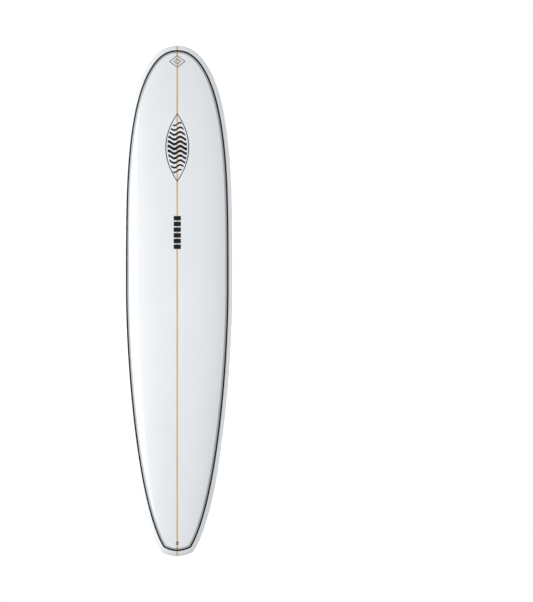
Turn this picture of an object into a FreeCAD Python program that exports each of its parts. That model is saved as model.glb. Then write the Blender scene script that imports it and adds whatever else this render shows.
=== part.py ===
import FreeCAD, Part
import math
import os

# A longboard surfboard, 9 feet long, of a foam blank with a wooden stringer, laminated in glass
# and resin. It stands nose up: +Z runs to the nose, the deck faces -Y, the bottom faces +Y and
# starboard is +X. The origin is on the stringer line, at mid length, on the bottom surface.
# Heights in this file are measured from the bottom's lowest level towards the deck, so y = -height.

# ---- driving dimensions, mm ----

LENGTH = 2743.0
HALF_WIDTH = 298.5
THICKNESS = 82.0
NOSE_THICKNESS = 17.0
TAIL_THICKNESS = 24.0
THICKNESS_POWER = 2.3

NOSE_ROCKER = 112.0
NOSE_ROCKER_POWER = 2.6
TAIL_ROCKER = 78.0
TAIL_ROCKER_POWER = 2.4

# plan shape: a rounded curve forward of the wide point and a drawn-out one behind it
WIDE_POINT = 60.0
NOSE_FULLNESS = 3.57
NOSE_ROUNDNESS = 2.19
TAIL_FULLNESS = 1.72
TAIL_ROUNDNESS = 2.17
TAIL_REACH = 1465.0
TAIL_BOW = 23.0
TAIL_BOW_FADE = 60.0
NOSE_BOW = 0.4
NOSE_BOW_FADE = 5.0

# cross-section: a domed deck, a flat bottom with soft rails, and the rail's widest line between
DECK_DOME = 3.4
BOTTOM_FLATNESS = 10.0
RAIL_HEIGHT = 0.42
RAIL_RISE_AT_NOSE = 0.08
RAIL_DROP_AT_TAIL = 0.14
EDGE_ROUND = 9.0

LENGTH_SPANS = 56
WIDTH_SPANS = 32

GLASS = 0.9
INK = 0.25
STRINGER = 9.5

PIN_INSET = 22.0
PIN_WIDTH = 8.5
PIN_TAIL_EXTRA = 4.0
SHADE_WIDTH = 10.5
OUTLINE_STEPS = 48
TAIL_STEPS = 8
NOSE_GAP = 0.02

NOSE_MARK_DROP = 83.0
NOSE_MARK_WIDTH = 91.0
NOSE_MARK_HEIGHT = 70.0
NOSE_MARK_LINE = 5.0
BADGE_TOP = 361.0
BADGE_BOTTOM = 731.0
BADGE_WIDTH = 128.0
BADGE_LINE = 5.0
BADGE_MARGIN = 11.0
BADGE_WAVES = 11
WAVE_ZONE = 0.75
WAVE_FILL = 0.66
WAVE_THINNING = 0.06
WAVE_SWING = 0.3
BAR_TOP = 908.0
BAR_BOTTOM = 1092.0
BAR_WIDTH = 39.0
BAR_COUNT = 6
BAR_FILL = 0.8

# on the bottom only, measured up from the tail
LABEL_TOP = 721.0
LABEL_BOTTOM = 589.0
LABEL_WIDTH = 39.0
DASH_FROM_TAIL = 413.0
DASH_LENGTH = 30.0
DASH_HEIGHT = 16.0
DASH_GAP = 5.0
DASH_LEAN = 5.0
TAIL_MARK_FROM_TAIL = 57.0
TAIL_RHOMBUS = 14.0
TAIL_RHOMBUS_RISE = 4.0
TAIL_DASH_LENGTH = 11.5
TAIL_DASH_HEIGHT = 7.0
TAIL_DASH_PITCH = 14.5

LEASH_FROM_TAIL = 69.0
LEASH_RADIUS = 13.0
LEASH_DEPTH = 18.0
LEASH_MOUTH_RADIUS = 5.0
LEASH_MOUTH_LENGTH = 21.0
LEASH_MOUTH_DEPTH = 13.5
LEASH_BAR_RADIUS = 1.6
LEASH_BAR_LENGTH = 22.0
LEASH_BAR_DEPTH = 4.6

PLUG_FROM_TAIL = 415.0
PLUG_OFFSET = 156.0
PLUG_TOE = 3.0
PLUG_LOBE_RADIUS = 16.5
PLUG_LOBE_PLACE = 30.0
PLUG_WAIST = 18.0
PLUG_DEPTH = 20.0
PLUG_SLOT_LENGTH = 23.0
PLUG_SLOT_WIDTH = 6.5
PLUG_SLOT_DEPTH = 15.5
SCREW_OFFSET = 10.6
SCREW_LEAN = 35.0
SCREW_RADIUS = 2.6
SCREW_HOLE_RADIUS = 2.95
SCREW_LENGTH = 5.5
SCREW_RECESS = 1.5
HEX_WIDTH = 2.5
HEX_DEPTH = 2.6

BOX_FROM_TAIL = 249.5
BOX_LENGTH = 222.0
BOX_WIDTH = 26.0
BOX_FLANGE = 4.0
BOX_BODY_WIDTH = 20.5
BOX_BODY_LENGTH = 200.0
BOX_DEPTH = 26.0
BOX_SLOT_LENGTH = 183.0
BOX_SLOT_WIDTH = 9.5
BOX_SLOT_DEPTH = 22.0
BOX_GROOVE_WIDTH = 16.5
BOX_GROOVE_TOP = 7.0
BOX_GROOVE_HEIGHT = 3.6
BOX_NOTCH_RADIUS = 8.6

PLATE_LENGTH = 12.5
PLATE_WIDTH = 15.7
PLATE_THICKNESS = 2.6
PLATE_HOLE_RADIUS = 2.08
PLATE_END_GAP = 1.0

# how far sockets and mouths are cut past the surface, and how far outlines are run through
PROUD = 6.0
THROUGH = 400.0

# ---- places worked out from them ----

HALF = LENGTH / 2
TAIL_CORNER = -HALF + TAIL_BOW
NOSE_END = HALF - NOSE_BOW
SLOPE_STEP = 1.0


def vec(x, y, z):
    return FreeCAD.Vector(x, y, z)


def save(name, shape):
    shape.exportStep("parts/" + name + ".step")
    print(name, len(shape.Solids), "solids", round(shape.Volume / 1000, 2), "cm3", shape.isValid())


# ---- the board's outer form ----

def half_width(z):
    """Half the board's width at a place along it."""
    if z > WIDE_POINT:
        reach = (z - WIDE_POINT) / (HALF - WIDE_POINT)
        return HALF_WIDTH * (1 - reach ** NOSE_FULLNESS) ** (1 / NOSE_ROUNDNESS)
    reach = (WIDE_POINT - z) / TAIL_REACH
    return HALF_WIDTH * (1 - reach ** TAIL_FULLNESS) ** (1 / TAIL_ROUNDNESS)


def rocker(z):
    """Height of the bottom's centre line above its lowest level."""
    if z > 0:
        return NOSE_ROCKER * (z / HALF) ** NOSE_ROCKER_POWER
    return TAIL_ROCKER * (-z / HALF) ** TAIL_ROCKER_POWER


def rocker_angle(z):
    """Slope of the bottom's centre line, in degrees."""
    rise = rocker(z + SLOPE_STEP) - rocker(z - SLOPE_STEP)
    return math.degrees(math.atan(rise / (2 * SLOPE_STEP)))


def thickness(z):
    end = NOSE_THICKNESS if z > 0 else TAIL_THICKNESS
    return THICKNESS - (THICKNESS - end) * abs(z / HALF) ** THICKNESS_POWER


def rail_share(z):
    """How far up the thickness the rail's widest line lies."""
    change = RAIL_RISE_AT_NOSE if z > 0 else -RAIL_DROP_AT_TAIL
    return RAIL_HEIGHT + change * (z / HALF) ** 2


def bow(z):
    """How far the middle of a crosswise line stands out towards the nearer end."""
    at_tail = TAIL_BOW * math.exp((TAIL_CORNER - z) / TAIL_BOW_FADE)
    at_nose = NOSE_BOW * math.exp((z - NOSE_END) / NOSE_BOW_FADE)
    return at_nose - at_tail


def end_rounding(z):
    """Falls to nothing, as a rounded edge does, at the tail and at the nose."""
    from_tail = 1 - math.exp((TAIL_CORNER - z) / EDGE_ROUND)
    from_nose = 1 - math.exp((z - NOSE_END) / EDGE_ROUND)
    return math.sqrt(max(from_tail, 0.0) * max(from_nose, 0.0))


def form_point(along, across, deck, inset):
    """A point of the deck or the bottom; along and across run from 0 to 1, tail to nose and
    starboard to port, and inset moves it into the board."""
    middle = (NOSE_END + TAIL_CORNER) / 2
    reach = (NOSE_END - TAIL_CORNER) / 2
    z = middle - reach * math.cos(math.pi * along)
    c = math.cos(math.pi * across)
    share = rail_share(z) * thickness(z)
    if deck:
        swell = (thickness(z) - share - inset) * (1 - abs(c) ** DECK_DOME) ** 0.5
    else:
        swell = -(share - inset) * (1 - abs(c) ** BOTTOM_FLATNESS) ** 0.5
    height = rocker(z) + share + swell * end_rounding(z)
    place = (z + bow(z) * (1 - c * c)) * (1 - inset / HALF)
    return vec((half_width(z) - inset) * c, -height, place)


def rows(spans):
    """Where the control rows of a clamped cubic surface lie, from 0 to 1."""
    inner = [i / spans for i in range(1, spans)]
    near = 1 / (3 * spans)
    return [0.0, near] + inner + [1 - near, 1.0]


def patch(deck, inset):
    """The deck or the bottom as one cubic surface."""
    poles = [[form_point(a, b, deck, inset) for b in rows(WIDTH_SPANS)] for a in rows(LENGTH_SPANS)]
    along_knots = list(range(LENGTH_SPANS + 1))
    across_knots = list(range(WIDTH_SPANS + 1))
    along_counts = [4] + [1] * (LENGTH_SPANS - 1) + [4]
    across_counts = [4] + [1] * (WIDTH_SPANS - 1) + [4]
    surface = Part.BSplineSurface()
    surface.buildFromPolesMultsKnots(
        poles, along_counts, across_counts, along_knots, across_knots, False, False, 3, 3
    )
    return surface


def sewn(faces):
    body = Part.Compound(faces)
    body.sewShape()
    solid = Part.Solid(body.Shells[0])
    if solid.Volume < 0:
        solid.reverse()
    return solid


def closed_form(inset):
    """The whole board, moved in by inset, as one solid."""
    return sewn([patch(True, inset).toShape(), patch(False, inset).toShape()])


def skin(deck, outer_inset, inner_inset):
    """The solid between two copies of one face of the board, closed along all four edges."""
    outer = patch(deck, outer_inset)
    inner = patch(deck, inner_inset)
    faces = [outer.toShape(), inner.toShape()]
    for knot in (0, LENGTH_SPANS):
        faces.append(Part.makeRuledSurface(outer.uIso(knot).toShape(), inner.uIso(knot).toShape()))
    for knot in (0, WIDTH_SPANS):
        faces.append(Part.makeRuledSurface(outer.vIso(knot).toShape(), inner.vIso(knot).toShape()))
    return sewn(faces)


# ---- small shapes ----

def block(x, y, z):
    """A box from three (low, high) pairs."""
    size = [high - low for low, high in (x, y, z)]
    return Part.makeBox(size[0], size[1], size[2], vec(x[0], y[0], z[0]))


def through_prism(points):
    """An upright outline in x and z, run right through the board."""
    corners = [vec(x, -THROUGH, z) for x, z in points]
    return Part.Face(Part.makePolygon(corners + corners[:1])).extrude(vec(0, 2 * THROUGH, 0))


def obround(length, width, low, high):
    """A slot shape with round ends along z, between two depths along y."""
    radius = width / 2
    run = length / 2 - radius
    middle = block((-radius, radius), (low, high), (-run, run))
    ends = [Part.makeCylinder(radius, high - low, vec(0, low, z), vec(0, 1, 0)) for z in (-run, run)]
    return middle.fuse(ends).removeSplitter()


def on_bottom(x, from_tail, turn):
    """Placement on the bottom: local +Y stands out of it and local +Z runs to the nose."""
    z = from_tail - HALF
    tilt = FreeCAD.Rotation(vec(1, 0, 0), rocker_angle(z))
    return FreeCAD.Placement(vec(x, -rocker(z), z), tilt.multiply(FreeCAD.Rotation(vec(0, 1, 0), turn)))


def on_deck(from_tail):
    """Placement on the deck's centre line, local +Y standing out of it."""
    z = from_tail - HALF
    ahead = rocker(z + SLOPE_STEP) + thickness(z + SLOPE_STEP)
    behind = rocker(z - SLOPE_STEP) + thickness(z - SLOPE_STEP)
    slope = math.degrees(math.atan((ahead - behind) / (2 * SLOPE_STEP)))
    tilt = FreeCAD.Rotation(vec(1, 0, 0), slope)
    height = rocker(z) + thickness(z)
    return FreeCAD.Placement(vec(0, -height, z), tilt.multiply(FreeCAD.Rotation(vec(0, 0, 1), 180)))


def placed(shape, placement):
    moved = shape.copy()
    moved.Placement = placement
    return moved


# ---- hardware, drawn about its own middle with the board's surface at y = 0 ----

def leash_cup():
    """The cup's outer form and the cup itself."""
    body = Part.makeCylinder(LEASH_RADIUS, LEASH_DEPTH + PROUD, vec(0, -LEASH_DEPTH, 0), vec(0, 1, 0))
    mouth = obround(LEASH_MOUTH_LENGTH, 2 * LEASH_MOUTH_RADIUS, -LEASH_MOUTH_DEPTH, 2 * PROUD)
    return body, body.cut([mouth, leash_bar()])


def leash_bar():
    start = vec(-LEASH_BAR_LENGTH / 2, -LEASH_BAR_DEPTH, 0)
    return Part.makeCylinder(LEASH_BAR_RADIUS, LEASH_BAR_LENGTH, start, vec(1, 0, 0))


def screw_axis(lobe):
    """Where a grub screw's axis meets the surface, and the way that it runs inwards."""
    lean = math.radians(SCREW_LEAN)
    start = vec(-lobe * SCREW_OFFSET, 0, lobe * PLUG_LOBE_PLACE)
    return start, vec(lobe * math.sin(lean), -math.cos(lean), 0)


def side_plug():
    """The outer form, and the plug: two round barrels joined by a waist, each with a tab slot."""
    outline = [
        Part.makeCylinder(PLUG_LOBE_RADIUS, PLUG_DEPTH + PROUD, vec(0, -PLUG_DEPTH, z), vec(0, 1, 0))
        for z in (-PLUG_LOBE_PLACE, PLUG_LOBE_PLACE)
    ]
    half_waist = PLUG_WAIST / 2
    waist = block((-half_waist, half_waist), (-PLUG_DEPTH, PROUD), (-PLUG_LOBE_PLACE, PLUG_LOBE_PLACE))
    body = waist.fuse(outline).removeSplitter()
    cuts = []
    for lobe in (-1, 1):
        slot = obround(PLUG_SLOT_LENGTH, PLUG_SLOT_WIDTH, -PLUG_SLOT_DEPTH, 2 * PROUD)
        slot.translate(vec(0, 0, lobe * PLUG_LOBE_PLACE))
        start, way = screw_axis(lobe)
        outside = start - way * (2 * PROUD)
        reach = SCREW_OFFSET / math.sin(math.radians(SCREW_LEAN))
        hole = Part.makeCylinder(SCREW_HOLE_RADIUS, reach + 2 * PROUD, outside, way)
        cuts += [slot, hole]
    return body, body.cut(cuts)


def grub_screw(lobe):
    """A headless screw with a hexagon socket, lying in its leaning hole."""
    start, way = screw_axis(lobe)
    head = start + way * (SCREW_RECESS + SCREW_RADIUS * math.tan(math.radians(SCREW_LEAN)))
    body = Part.makeCylinder(SCREW_RADIUS, SCREW_LENGTH, head, way)
    corner = HEX_WIDTH / math.sqrt(3)
    side = way.cross(vec(0, 0, 1))
    corners = []
    for i in range(6):
        angle = math.radians(60 * i)
        corners.append(head + side * (corner * math.cos(angle)) + vec(0, 0, corner * math.sin(angle)))
    socket = Part.Face(Part.makePolygon(corners + corners[:1])).extrude(way * HEX_DEPTH)
    return body.cut(socket)


def fin_box():
    """The outer form, the box, and the room inside it for a fin's base."""
    flange = obround(BOX_LENGTH, BOX_WIDTH, -BOX_FLANGE, PROUD)
    trough = obround(BOX_BODY_LENGTH, BOX_BODY_WIDTH, -BOX_DEPTH, 0)
    body = flange.fuse(trough).removeSplitter()
    half_slot = BOX_SLOT_LENGTH / 2
    slot = obround(BOX_SLOT_LENGTH, BOX_SLOT_WIDTH, -BOX_SLOT_DEPTH, 2 * PROUD)
    half_groove = BOX_GROOVE_WIDTH / 2
    groove_low = -BOX_GROOVE_TOP - BOX_GROOVE_HEIGHT
    groove = block((-half_groove, half_groove), (groove_low, -BOX_GROOVE_TOP), (-half_slot, half_slot))
    notch_height = 2 * PROUD - groove_low
    notch = Part.makeCylinder(BOX_NOTCH_RADIUS, notch_height, vec(0, groove_low, 0), vec(0, 1, 0))
    room = slot.fuse([groove, notch])
    return body, body.cut(room), room


def fin_plate():
    """The tapped plate that a centre fin's screw goes into, at the tail end of the groove."""
    low = -BOX_GROOVE_TOP - BOX_GROOVE_HEIGHT / 2 - PLATE_THICKNESS / 2
    start = -BOX_SLOT_LENGTH / 2 + PLATE_END_GAP
    half_plate = PLATE_WIDTH / 2
    plate = block((-half_plate, half_plate), (low, low + PLATE_THICKNESS), (start, start + PLATE_LENGTH))
    hole_start = vec(0, low - PROUD, start + PLATE_LENGTH / 2)
    return plate.cut(Part.makeCylinder(PLATE_HOLE_RADIUS, 2 * PROUD, hole_start, vec(0, 1, 0)))


# ---- pinlines and marks ----

def side_point(z, inset):
    """A point inside the starboard outline, inset square to it, as (x, z)."""
    step = 0.01
    slope = (half_width(z + step) - half_width(z - step)) / (2 * step)
    size = math.hypot(1, slope)
    return half_width(z) - inset / size, z + inset * slope / size


def tail_point(x, inset):
    """Height along the board of the tail's edge, moved in, at a distance from the stringer. The
    lines round the tail lie a little further in than along the sides."""
    corner = half_width(TAIL_CORNER)
    slope = 2 * TAIL_BOW * x / corner ** 2
    return -HALF + TAIL_BOW * (x / corner) ** 2 + (inset + PIN_TAIL_EXTRA) * math.hypot(1, slope)


def arcs(points):
    """Arcs through a line of points, three at a time, as edges."""
    edges = []
    for i in range(0, len(points) - 2, 2):
        edges.append(Part.Arc(*[vec(x, -THROUGH, z) for x, z in points[i:i + 3]]).toShape())
    return edges


def side_start(inset):
    """Where along the board the moved-in side meets the moved-in tail, found by halving."""
    low = TAIL_CORNER
    high = WIDE_POINT
    while high - low > NOSE_GAP / 1000:
        middle = (low + high) / 2
        x, z = side_point(middle, inset)
        if z < tail_point(x, inset):
            low = middle
        else:
            high = middle
    return low


def inset_wire(inset):
    """The board's outline moved in, round the nose and across the tail."""
    corner_place = side_start(inset)
    span = HALF - NOSE_GAP - corner_place
    starboard = []
    for i in range(OUTLINE_STEPS):
        turn = math.pi / 2 * i / OUTLINE_STEPS
        starboard.append(side_point(corner_place + span * math.sin(turn), inset))
    starboard.append((0.0, HALF - inset))
    port = [(-x, z) for x, z in reversed(starboard)]
    corner = starboard[0][0]
    tail = [port[-1]]
    for i in range(1, TAIL_STEPS):
        x = corner * (2 * i / TAIL_STEPS - 1)
        tail.append((x, tail_point(x, inset)))
    tail.append(starboard[0])
    return Part.Wire(arcs(starboard) + arcs(port) + arcs(tail))


def ring(outer_inset, inner_inset, film):
    """A line that runs all round the board, between two insets."""
    outer = Part.Face(inset_wire(outer_inset)).extrude(vec(0, 2 * THROUGH, 0))
    inner = Part.Face(inset_wire(inner_inset)).extrude(vec(0, 2 * THROUGH, 0))
    return film.common(outer.cut(inner))


def rhombus(width, height, middle):
    return [(width / 2, middle), (0, middle + height / 2), (-width / 2, middle), (0, middle - height / 2)]


def nose_mark(film):
    middle = HALF - NOSE_MARK_DROP
    shapes = []
    for scale in (1.0, 0.5):
        wide = NOSE_MARK_WIDTH * scale
        high = NOSE_MARK_HEIGHT * scale
        line = 2 * NOSE_MARK_LINE * math.hypot(1 / wide, 1 / high)
        outer = through_prism(rhombus(wide, high, middle))
        shapes.append(outer.cut(through_prism(rhombus(wide * (1 - line), high * (1 - line), middle))))
    return film.common(Part.Compound(shapes))


def lens_width(share, shrink):
    """Half the width of the badge's lens at a share of its height, from -1 to 1."""
    return max((BADGE_WIDTH / 2) * (1 - share * share) - shrink, 0.0)


def lens(shrink, middle, half_height):
    """A tall pointed lens with two curved sides."""
    steps = 24
    reach = math.sqrt(1 - 2 * shrink / BADGE_WIDTH)
    right = []
    for i in range(steps + 1):
        share = reach * (2 * i / steps - 1)
        right.append((lens_width(share, shrink), middle + half_height * share))
    left = [(-x, z) for x, z in reversed(right[1:-1])]
    return through_prism(right + left)


def wave_band(low, height, swing):
    """A band across the lens whose two edges rise and fall in one wave."""
    steps = 24
    lower = []
    for i in range(steps + 1):
        x = BADGE_WIDTH * (i / steps - 0.5)
        lower.append((x, low + swing * math.sin(4 * math.pi * x / BADGE_WIDTH)))
    upper = [(x, z + height) for x, z in reversed(lower)]
    return through_prism(lower + upper)


def badge(film):
    """A lens-shaped frame filled with wave bands that thin out towards its two points."""
    middle = HALF - (BADGE_TOP + BADGE_BOTTOM) / 2
    half_height = (BADGE_BOTTOM - BADGE_TOP) / 2
    whole = lens(0, middle, half_height)
    opening = lens(BADGE_LINE, middle, half_height)
    frame = whole.cut(opening)
    field = lens(BADGE_MARGIN, middle, half_height)
    pitch = 2 * WAVE_ZONE * half_height / BADGE_WAVES
    bands = []
    for i in range(BADGE_WAVES):
        level = i - (BADGE_WAVES - 1) / 2
        height = pitch * (WAVE_FILL - WAVE_THINNING * abs(level))
        bands.append(wave_band(middle + level * pitch - height / 2, height, WAVE_SWING * pitch))
    filling = field.common(Part.Compound(bands))
    return film.common(Part.Compound(frame.Solids + filling.Solids))


def bar_block(film):
    """A stack of plain bars."""
    pitch = (BAR_BOTTOM - BAR_TOP) / BAR_COUNT
    half_bar = BAR_WIDTH / 2
    bars = []
    for i in range(BAR_COUNT):
        low = HALF - BAR_BOTTOM + i * pitch
        bars.append(block((-half_bar, half_bar), (-THROUGH, THROUGH), (low, low + pitch * BAR_FILL)))
    return film.common(Part.Compound(bars))


def size_label(film):
    half_label = LABEL_WIDTH / 2
    span = (LABEL_BOTTOM - HALF, LABEL_TOP - HALF)
    return film.common(block((-half_label, half_label), (-THROUGH, THROUGH), span))


def tail_mark(film):
    """A small rhombus on the stringer with two short dashes on each side of it."""
    middle = TAIL_MARK_FROM_TAIL - HALF
    shapes = [through_prism(rhombus(TAIL_RHOMBUS, TAIL_RHOMBUS, middle + TAIL_RHOMBUS_RISE))]
    half_height = TAIL_DASH_HEIGHT / 2
    for place in (-2, -1, 1, 2):
        x = place * TAIL_DASH_PITCH
        across = (x - TAIL_DASH_LENGTH / 2, x + TAIL_DASH_LENGTH / 2)
        shapes.append(block(across, (-THROUGH, THROUGH), (middle - half_height, middle + half_height)))
    return film.common(Part.Compound(shapes))


def dash_mark(side, film):
    """One of two leaning dashes, side by side across the stringer."""
    middle = DASH_FROM_TAIL - HALF
    near = side * DASH_GAP / 2
    far = near + side * DASH_LENGTH
    low = middle - DASH_HEIGHT / 2
    high = middle + DASH_HEIGHT / 2
    lower = [(near - DASH_LEAN, low), (far - DASH_LEAN, low)]
    upper = [(far + DASH_LEAN, high), (near + DASH_LEAN, high)]
    return film.common(through_prism(lower + upper))


# ---- the whole board ----

def main():
    os.makedirs("parts", exist_ok=True)
    board = closed_form(0)
    blank = closed_form(GLASS)
    bottom_glass = skin(False, 0, GLASS)
    deck_glass = skin(True, 0, GLASS)

    leash_place = on_deck(LEASH_FROM_TAIL)
    leash_body, cup = leash_cup()
    save("leash_plug_cup", placed(cup, leash_place).common(board))
    save("leash_plug_bar", placed(leash_bar(), leash_place))

    box_place = on_bottom(0, BOX_FROM_TAIL, 0)
    box_body, box, box_room = fin_box()
    save("fin_box", placed(box, box_place).common(blank))
    save("fin_screw_plate", placed(fin_plate(), box_place))

    leash_socket = placed(leash_body, leash_place)
    plug_sockets = []
    for side_name, side in (("starboard", 1), ("port", -1)):
        place = on_bottom(side * PLUG_OFFSET, PLUG_FROM_TAIL, -side * PLUG_TOE)
        plug_body, plug = side_plug()
        plug_sockets.append(placed(plug_body, place))
        save("side_plug_" + side_name, placed(plug, place).common(board))
        for lobe_name, lobe in (("front", 1), ("rear", -1)):
            save("grub_screw_" + side_name + "_" + lobe_name, placed(grub_screw(lobe), place))

    sockets = plug_sockets + [leash_socket, placed(box_body, box_place)]
    half = STRINGER / 2
    slab = block((-half, half), (-THROUGH, THROUGH), (-LENGTH, LENGTH))
    save("stringer", blank.common(slab).cut(sockets))
    for side_name, side in (("starboard", 1), ("port", -1)):
        near, far = sorted((side * half, side * LENGTH))
        flank = block((near, far), (-THROUGH, THROUGH), (-LENGTH, LENGTH))
        save("foam_" + side_name, blank.common(flank).cut(sockets))
    save("deck_glass", deck_glass.cut(leash_socket))
    save("bottom_glass", bottom_glass.cut(plug_sockets + [placed(box_room, box_place)]))

    deck_film = skin(True, -INK, 0)
    bottom_film = skin(False, -INK, 0)
    pin_end = PIN_INSET + PIN_WIDTH
    save("deck_pinline", ring(PIN_INSET, pin_end, deck_film))
    save("deck_shade_line", ring(pin_end, pin_end + SHADE_WIDTH, deck_film))
    save("bottom_pinline", ring(PIN_INSET, pin_end, bottom_film))
    for face, film in (("deck", deck_film), ("bottom", bottom_film)):
        save(face + "_nose_mark", nose_mark(film))
        save(face + "_wave_badge", badge(film))
        save(face + "_bar_block", bar_block(film))
    save("size_label", size_label(bottom_film))
    save("tail_mark", tail_mark(bottom_film))
    save("grey_dash", dash_mark(1, bottom_film))
    save("red_dash", dash_mark(-1, bottom_film))


main()
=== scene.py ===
import math

import bmesh
import bpy
import numpy as np
from mathutils import Matrix, Vector
from mathutils.bvhtree import BVHTree


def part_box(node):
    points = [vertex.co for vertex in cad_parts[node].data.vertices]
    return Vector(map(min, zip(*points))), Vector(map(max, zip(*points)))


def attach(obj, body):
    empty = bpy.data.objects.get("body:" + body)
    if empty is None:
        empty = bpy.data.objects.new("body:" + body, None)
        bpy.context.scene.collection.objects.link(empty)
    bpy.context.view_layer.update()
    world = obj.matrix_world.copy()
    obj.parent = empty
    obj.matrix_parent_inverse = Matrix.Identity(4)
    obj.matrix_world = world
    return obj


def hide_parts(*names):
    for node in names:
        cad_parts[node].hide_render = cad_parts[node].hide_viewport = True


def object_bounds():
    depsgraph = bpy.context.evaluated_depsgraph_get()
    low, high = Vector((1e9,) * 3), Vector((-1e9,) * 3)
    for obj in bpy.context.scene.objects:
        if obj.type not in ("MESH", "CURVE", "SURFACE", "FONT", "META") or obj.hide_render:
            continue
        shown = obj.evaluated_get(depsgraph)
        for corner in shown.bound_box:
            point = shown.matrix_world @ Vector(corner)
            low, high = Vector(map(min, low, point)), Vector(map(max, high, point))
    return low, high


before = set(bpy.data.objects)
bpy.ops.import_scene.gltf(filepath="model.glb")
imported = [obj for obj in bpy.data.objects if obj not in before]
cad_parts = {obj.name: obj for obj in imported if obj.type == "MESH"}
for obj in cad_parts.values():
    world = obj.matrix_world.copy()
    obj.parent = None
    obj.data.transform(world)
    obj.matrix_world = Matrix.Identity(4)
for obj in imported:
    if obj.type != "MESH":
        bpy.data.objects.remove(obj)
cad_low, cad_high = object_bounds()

# The board stands nose up: +Z to the nose, deck towards -Y, bottom towards +Y, starboard +X.
# Everything is in metres. The form below is the CAD board's own form, drawn finer.

MM = 0.001

LENGTH = 2743.0 * MM
HALF_WIDTH = 298.5 * MM
THICKNESS = 82.0 * MM
NOSE_THICKNESS = 17.0 * MM
TAIL_THICKNESS = 24.0 * MM
THICKNESS_POWER = 2.3

NOSE_ROCKER = 112.0 * MM
NOSE_ROCKER_POWER = 2.6
TAIL_ROCKER = 78.0 * MM
TAIL_ROCKER_POWER = 2.4

WIDE_POINT = 60.0 * MM
NOSE_FULLNESS = 3.57
NOSE_ROUNDNESS = 2.19
TAIL_FULLNESS = 1.72
TAIL_ROUNDNESS = 2.17
TAIL_REACH = 1465.0 * MM
TAIL_BOW = 23.0 * MM
TAIL_BOW_FADE = 60.0 * MM
NOSE_BOW = 0.4 * MM
NOSE_BOW_FADE = 5.0 * MM

DECK_DOME = 3.4
BOTTOM_FLATNESS = 10.0
RAIL_HEIGHT = 0.42
RAIL_RISE_AT_NOSE = 0.08
RAIL_DROP_AT_TAIL = 0.14
EDGE_ROUND = 9.0 * MM

LENGTH_SPANS = 56
WIDTH_SPANS = 32
ROWS_PER_SPAN = 5
COLUMNS_PER_SPAN = 4

GLASS = 0.9 * MM
STRINGER = 9.5 * MM

# ink stands out of the surface, and its underside is sunk a little into it
INK = 0.25 * MM
INK_SUNK = 0.1 * MM

PIN_INSET = 22.0 * MM
PIN_WIDTH = 8.5 * MM
PIN_TAIL_EXTRA = 4.0 * MM
SHADE_WIDTH = 10.5 * MM
NOSE_GAP = 0.02 * MM

NOSE_MARK_DROP = 83.0 * MM
NOSE_MARK_WIDTH = 91.0 * MM
NOSE_MARK_HEIGHT = 70.0 * MM
NOSE_MARK_LINE = 5.0 * MM
BADGE_TOP = 361.0 * MM
BADGE_BOTTOM = 731.0 * MM
BADGE_WIDTH = 128.0 * MM
BADGE_LINE = 5.0 * MM
BADGE_MARGIN = 11.0 * MM
BADGE_WAVES = 11
WAVE_ZONE = 0.75
WAVE_FILL = 0.66
WAVE_THINNING = 0.06
WAVE_SWING = 0.3
BAR_TOP = 908.0 * MM
BAR_BOTTOM = 1092.0 * MM
BAR_WIDTH = 39.0 * MM
BAR_COUNT = 6
BAR_FILL = 0.8

# on the bottom only, measured up from the tail
DASH_FROM_TAIL = 413.0 * MM
DASH_LENGTH = 30.0 * MM
DASH_HEIGHT = 16.0 * MM
DASH_GAP = 5.0 * MM
DASH_LEAN = 5.0 * MM
DASH_EDGE = 2.2 * MM
TAIL_MARK_FROM_TAIL = 57.0 * MM
TAIL_RHOMBUS = 14.0 * MM
TAIL_RHOMBUS_RISE = 4.0 * MM
TAIL_DASH_LENGTH = 11.5 * MM
TAIL_DASH_HEIGHT = 7.0 * MM
TAIL_DASH_PITCH = 14.5 * MM

LEASH_FROM_TAIL = 69.0 * MM
LEASH_RADIUS = 13.0 * MM
PLUG_FROM_TAIL = 415.0 * MM
PLUG_OFFSET = 156.0 * MM
PLUG_TOE = 3.0
PLUG_LOBE_RADIUS = 16.5 * MM
PLUG_LOBE_PLACE = 30.0 * MM
PLUG_WAIST = 18.0 * MM
BOX_FROM_TAIL = 249.5 * MM
BOX_SLOT_LENGTH = 183.0 * MM
BOX_SLOT_WIDTH = 9.5 * MM
BOX_NOTCH_RADIUS = 8.6 * MM
SEAM = 0.2 * MM
# the painted shade in the leash cup's mouth starts this far below its rim and is full at twice as far
MOUTH_RIM = 1.0 * MM
CUT_REACH = 8.0 * MM

LABEL_MARGIN = 2.0 * MM
LABEL_LINE = 1.3 * MM
LABEL_DIVIDE = 0.72
LABEL_SQUARE = 10.0 * MM
LABEL_RULE = 1.6 * MM
LABEL_RULE_INSET = 5.0 * MM
LABEL_RULE_GAPS = (0.06, 0.05)
LABEL_BAR = 3.2 * MM
# where each bar stands across the label, and the shares of its height that it runs between
LABEL_BARS = [(3.0 * MM, 0.12, 0.44), (-3.5 * MM, 0.26, 0.56), (10.0 * MM, 0.10, 0.36)]

HALF = LENGTH / 2
TAIL_CORNER = -HALF + TAIL_BOW
NOSE_END = HALF - NOSE_BOW
BADGE_MIDDLE = HALF - (BADGE_TOP + BADGE_BOTTOM) / 2
BADGE_HALF_HEIGHT = (BADGE_BOTTOM - BADGE_TOP) / 2

# steps for slopes, how closely the tail's corner is found, where the rays to the surface start,
# and how sharp an edge stays sharp, in degrees
SLOPE_STEP = 1.0 * MM
SIDE_STEP = 0.01 * MM
CORNER_CLOSENESS = 0.00002 * MM
RAY_START = 2.0
SHARP_EDGE = 35

# each face's name, and whether it is the deck
FACES = (("deck", True), ("bottom", False))

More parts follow.
